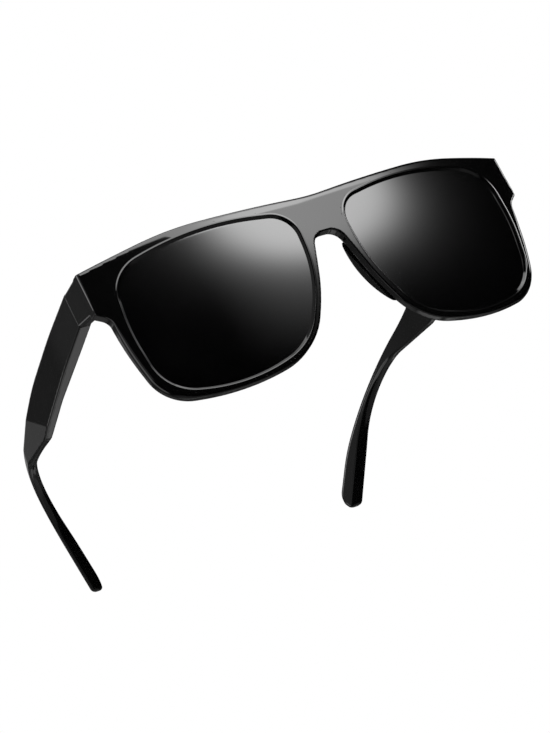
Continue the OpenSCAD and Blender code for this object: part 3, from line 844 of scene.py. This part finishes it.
class SUNGLASSES_OT_front(bpy.types.Operator):
    """Build the curved front with its end pieces, and the polished steps round the lenses"""
    bl_idname = "sunglasses.front"
    bl_label = "Front"

    def execute(self, context):
        shape = Shape(context.scene)
        black = shared_material("acetate", acetate, context)
        axes = [graded(-shape.half_w - MARGIN, shape.half_w + MARGIN, FRONT_CELL),
                graded(-MARGIN, shape.seam_y + SEAM_MARGIN, FRONT_CELL, shape.seam_y),
                graded(-MARGIN, shape.brow_z + MARGIN, FRONT_CELL)]
        piece = add_solid("front_body", shape, shape.front_field, axes, 1, black)
        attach(piece, "front")
        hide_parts("front_frame")
        for side, sign in SIDES.items():
            step = self.step(shape, side, sign, black)
            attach(step, "front")
        return {"FINISHED"}

    def step(self, shape, side, sign, material):
        """The step round a lens, swept round the opening, with a tighter lip above it."""
        places, outward = shape.lens.walk(STEP_CELL)
        below, above = (eased([(LIP_OUT, 0, 0), (shape.bead_w, 0, BEAD_R),
                               (0, -shape.bead_h, r), (-shape.step_w, shape.step_d, 0)])
                        for r in (shape.lip_r, shape.lip_top_r))
        # The upper lip's share grows where the outline turns to face up.
        share = smooth(outward[:, 1], 0.2, 0.8)
        verts, normals = [], []
        for low, high in zip(below, above):
            out, deep, out_n, deep_n = (a + (b - a) * share for a, b in
                                        zip(np.concatenate(low), np.concatenate(high)))
            x, z = (places + outward * out[:, None]).T
            radius = shape.front_r - deep + LIP_RISE
            y = shape.front_r - np.sqrt(radius ** 2 - x * x - (z - shape.ball_z) ** 2)
            skin = np.stack([x, y, z], 1)
            up = (skin - (0, shape.front_r, shape.ball_z)) / radius[:, None]
            side_n = np.stack([outward[:, 0], np.zeros(len(x)), outward[:, 1]], 1)
            verts.append(skin)
            normals.append(side_n * out_n[:, None] - up * deep_n[:, None])
        verts, normals = np.concatenate(verts), np.concatenate(normals)
        return add_mesh(f"lens_step_{side}", placed(shape, verts, sign),
                        grid_faces(len(below), len(places)), normals * (sign, 1, 1), material)


class SUNGLASSES_OT_lenses(bpy.types.Operator):
    """Build the two curved lenses"""
    bl_idname = "sunglasses.lenses"
    bl_label = "Lenses"

    def execute(self, context):
        shape = Shape(context.scene)
        material = shared_material("lens_smoke", smoke, context)
        places, normals = shape.lens.walk(LENS_CELL)
        rim = places + normals * (shape.groove_d - shape.step_w - LENS_PLAY)
        # Rings from near the middle to the rim on the front, and in again on the back
        rings = 26
        shares = np.linspace(0.04, 1, rings)
        for side, sign in SIDES.items():
            verts, outs = [], []
            for deep, facing in ((shape.lens_recess, 1), (shape.lens_recess + shape.lens_t, -1)):
                radius = shape.front_r - deep
                for share in (shares if facing > 0 else shares[::-1]):
                    x, z = (shape.lens_middle + (rim - shape.lens_middle) * share).T
                    y = shape.front_r - np.sqrt(radius ** 2 - x * x - (z - shape.ball_z) ** 2)
                    skin = np.stack([x, y, z], 1)
                    verts.append(skin)
                    outs.append((skin - (0, shape.front_r, shape.ball_z)) * facing / radius)
            piece = add_mesh(f"lens_shell_{side}", placed(shape, np.concatenate(verts), sign),
                             capped_faces(2 * rings, len(rim)),
                             np.concatenate(outs) * (sign, 1, 1), material)
            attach(piece, "front")
            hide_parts(f"lens_{side}")
        return {"FINISHED"}


class SUNGLASSES_OT_pads(bpy.types.Operator):
    """Build the two nose pads"""
    bl_idname = "sunglasses.pads"
    bl_label = "Nose pads"

    def execute(self, context):
        shape = Shape(context.scene)
        black = shared_material("acetate", acetate, context)
        for side, sign in SIDES.items():
            axes = [graded(*ends, PAD_CELL) for ends in PAD_BOX]
            piece = add_solid(f"pad_{side}", shape, shape.pad_field, axes, sign, black)
            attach(piece, "front")
            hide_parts(f"nose_pad_{side}")
        return {"FINISHED"}


class SUNGLASSES_OT_temples(bpy.types.Operator):
    """Build the two temples"""
    bl_idname = "sunglasses.temples"
    bl_label = "Temples"

    def execute(self, context):
        shape = Shape(context.scene)
        black = shared_material("acetate", acetate, context)
        for side, sign in SIDES.items():
            axes = [graded(shape.half_w - ARM_IN, shape.half_w + MARGIN, ARM_CELL),
                    graded(shape.temple_y - SEAM_MARGIN, shape.temple_reach + MARGIN, ARM_CELL,
                           shape.temple_y),
                    graded(-MARGIN, shape.seam_top_z + MARGIN, ARM_CELL)]
            piece = add_solid(f"arm_{side}", shape, shape.temple_field, axes, sign, black)
            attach(piece, f"{side}_arm")
            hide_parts(f"temple_{side}")
        return {"FINISHED"}


class SUNGLASSES_OT_metal(bpy.types.Operator):
    """Give the hinge metal and the wire cores their satin steel"""
    bl_idname = "sunglasses.metal"
    bl_label = "Hinge metal"

    def execute(self, context):
        tones = context.scene.shades_finish
        hinge = steel("hinge_steel", tones.hinge, tones.hinge_mark, 0.2)
        wire = steel("core_steel", tones.wire, tones.wire_mark, 0.3)
        finishes = {("hinge_", "front_rivets", "temple_rivets"): hinge, "temple_core": wire}
        for name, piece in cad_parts.items():
            for starts, finish in finishes.items():
                if name.startswith(starts):
                    for slot in piece.material_slots:
                        slot.material = finish
        return {"FINISHED"}


class SUNGLASSES_OT_stage(bpy.types.Operator):
    """Set the floor, the light tent, the lamps, the world and the camera"""
    bl_idname = "sunglasses.stage"
    bl_label = "Stage"

    def execute(self, context):
        stage = context.scene.shades_stage
        self.floor(context, stage)
        self.tent(stage)
        self.lamps(context, stage)
        self.world(context, stage)
        self.camera(context, stage)
        return {"FINISHED"}

    def floor(self, context, stage):
        """A pale floor that shows only from above."""
        w, tones = stage.floor_w / MM / 2, context.scene.shades_finish
        floor = add_mesh("floor", [(-w, -w, 0), (w, -w, 0), (w, w, 0), (-w, w, 0)], [(0, 1, 2, 3)])
        material, s = new_material("floor_pale")
        tone = s.noise(3.0, 4.0).ramp(0.2, 0.8)
        paint = s.node("ShaderNodeBsdfPrincipled", {}, {
            "Base Color": s.mix(tone, tones.floor, tones.floor_cloud), "Roughness": 0.6})
        clear = s.node("ShaderNodeBsdfTransparent")
        below = s.node("ShaderNodeNewGeometry", output=6)
        finish_material(s, s.node("ShaderNodeMixShader", {}, [below, paint, clear]))
        floor.data.materials.append(material)
        floor.visible_glossy = False

    def tent(self, stage):
        """A sphere that only reflections see, brighter where soft boxes would stand."""
        radius, rows, columns = stage.tent_r / MM, 24, 48
        verts = [(radius * math.sin(math.pi * i / rows) * math.cos(2 * math.pi * k / columns),
                  radius * math.sin(math.pi * i / rows) * math.sin(2 * math.pi * k / columns),
                  radius * math.cos(math.pi * i / rows))
                 for i in range(1, rows) for k in range(columns)]
        tent = add_mesh("tent", verts, capped_faces(rows - 1, columns))
        material, s = new_material("tent_light")
        where = s.node("ShaderNodeVectorMath", {"operation": "NORMALIZE"}, [s.places()])
        split = s.node("ShaderNodeSeparateXYZ", {}, [where]).socket.node
        x, y, z = (Value(s, split.outputs[i]) for i in range(3))
        # Degrees around from straight ahead, and degrees up
        around = x.math("ARCTAN2", -y) * (180 / math.pi)
        up = z.math("ARCSINE") * (180 / math.pi)
        # A round soft box ahead and above, which the lenses show, and a faint glow below it
        off = (((around - 29.5) / 19) ** 2 + ((up - 24) / 11.5) ** 2) ** 0.5
        soft_box = 4.9 / (1 + (off / 0.95) ** 8)
        glow = 0.6 * (1 - ((around - 22) / 18).math("ABSOLUTE").ramp(0, 1)) * up.ramp(-4, 16)
        # A hard-edged panel above it, which the brow shows, with a notch at its left
        ledge = around.ramp(3, 5.5)
        lower = 24.75 + ledge * ((28 - around).math("MAXIMUM", 0) * 0.05 - 2.35)
        lower = lower + (around - 28).math("MAXIMUM", 0) * 0.012
        panel = 4.8 * (up - lower).ramp(-0.15, 0.15) * around.ramp(-25, -19) * (
            1 - around.ramp(26, 60)) * (1 - up.ramp(58, 64))
        # A grey wall, brightest to the left, over a dim one all round behind, and a pale floor
        left, back, high = -around, around.math("ABSOLUTE"), up.ramp(-16, -6)
        wall = left.ramp(56, 66) * (0.32 - 0.2 * left.ramp(100, 145)) * high
        wall = wall + 0.12 * back.ramp(100, 112) * (1 - high) - 0.055 * left.ramp(152, 158) * high
        wall = wall + 0.2 * (1 - up.ramp(-56, -46))
        # Straight behind, a strip up high in two steps and another down low
        strips = up.within(13, 40, 3, 10) * (0.16 * back.ramp(161.8, 163)
                                             + 0.2 * back.ramp(163, 170))
        strips = strips + 0.6 * back.ramp(162, 165) * up.within(-48, -34, 3, 1.5)
        light = soft_box + glow + panel + wall + strips
        for level, across, tall in LIGHT_BOXES:
            light = light + level * around.within(*across) * up.within(*tall)
        finish_material(s, s.node("ShaderNodeEmission", {}, {"Color": light}))
        tent.data.materials.append(material)
        tent.visible_camera = tent.visible_diffuse = tent.visible_shadow = False
        tent.visible_transmission = tent.visible_volume_scatter = False

    def lamps(self, context, stage):
        """Soft lamps that reflections don't see."""
        for name, place, share in LAMPS:
            data = bpy.data.lights.new(name, "AREA")
            data.size, data.energy = LAMP_W, stage.key_power * share
            lamp = bpy.data.objects.new(name, data)
            lamp.location = place
            lamp.rotation_euler = (-Vector(place)).to_track_quat("-Z", "Y").to_euler()
            lamp.visible_glossy = False
            context.scene.collection.objects.link(lamp)

    def world(self, context, stage):
        """Even light from all round, with a white background."""
        world = bpy.data.worlds.new("studio")
        world.use_nodes = True
        s = Shader(world.node_tree)
        path = s.node("ShaderNodeLightPath").socket.node
        camera, glossy, passing = (Value(s, path.outputs[name]) for name in
                                   ("Is Camera Ray", "Is Glossy Ray", "Is Transmission Ray"))
        seen = camera.math("MAXIMUM", glossy).math("MAXIMUM", passing)
        tone = s.mix(seen, [stage.ambient] * 3, (1, 1, 1))
        back = s.node("ShaderNodeBackground", {}, {"Color": tone, "Strength": 1.0})
        out = s.tree.nodes.new("ShaderNodeOutputWorld")
        s.tree.links.new(back.socket, out.inputs["Surface"])
        context.scene.world = world

    def camera(self, context, stage):
        """The camera at the picture's place, with its own focal length."""
        data = bpy.data.cameras.new("camera")
        data.sensor_width = data.sensor_height = SENSOR_W
        data.lens = stage.focal_pixels / stage.picture_h * data.sensor_width
        data.clip_start, data.clip_end = 0.01, 50
        camera = bpy.data.objects.new("camera", data)
        right, up = Vector(stage.camera_right).normalized(), Vector(stage.camera_up)
        back = right.cross(up).normalized()
        up = back.cross(right)
        camera.matrix_world = Matrix.Translation(stage.camera_at) @ Matrix(
            (right, up, back)).transposed().to_4x4()
        context.scene.collection.objects.link(camera)
        context.scene.camera = camera
        context.scene.view_settings.view_transform = "Standard"


class VIEW3D_PT_sunglasses(bpy.types.Panel):
    """Sizes of the sunglasses and the buttons that build them"""
    bl_label = "Sunglasses"
    bl_space_type = "VIEW_3D"
    bl_region_type = "UI"
    bl_category = "Sunglasses"

    def draw(self, context):
        for operator in OPERATORS:
            self.layout.operator(operator.bl_idname)
        for name in GROUPS:
            box = self.layout.box()
            box.label(text=name.replace("shades_", "").capitalize())
            group = getattr(context.scene, name)
            for key in sizes_of(group):
                box.prop(group, key)


GROUPS = {"shades_front": FrontSizes, "shades_lens": LensSizes, "shades_pad": PadSizes,
          "shades_temple": TempleSizes, "shades_hinge": HingeSizes,
          "shades_finish": FinishColours, "shades_stage": StageSettings}
OPERATORS = (SUNGLASSES_OT_front, SUNGLASSES_OT_lenses, SUNGLASSES_OT_pads,
             SUNGLASSES_OT_temples, SUNGLASSES_OT_metal, SUNGLASSES_OT_stage)


def register():
    for item in (*GROUPS.values(), *OPERATORS, VIEW3D_PT_sunglasses):
        bpy.utils.register_class(item)
    for name, group in GROUPS.items():
        setattr(bpy.types.Scene, name, PointerProperty(type=group))


def unregister():
    for name in GROUPS:
        delattr(bpy.types.Scene, name)
    for item in (VIEW3D_PT_sunglasses, *reversed(OPERATORS), *reversed(GROUPS.values())):
        bpy.utils.unregister_class(item)


def main():
    """Builds every piece and the stage."""
    register()
    for name in ("front", "lenses", "pads", "temples", "metal", "stage"):
        getattr(bpy.ops.sunglasses, name)()


if __name__ == "__main__":
    main()
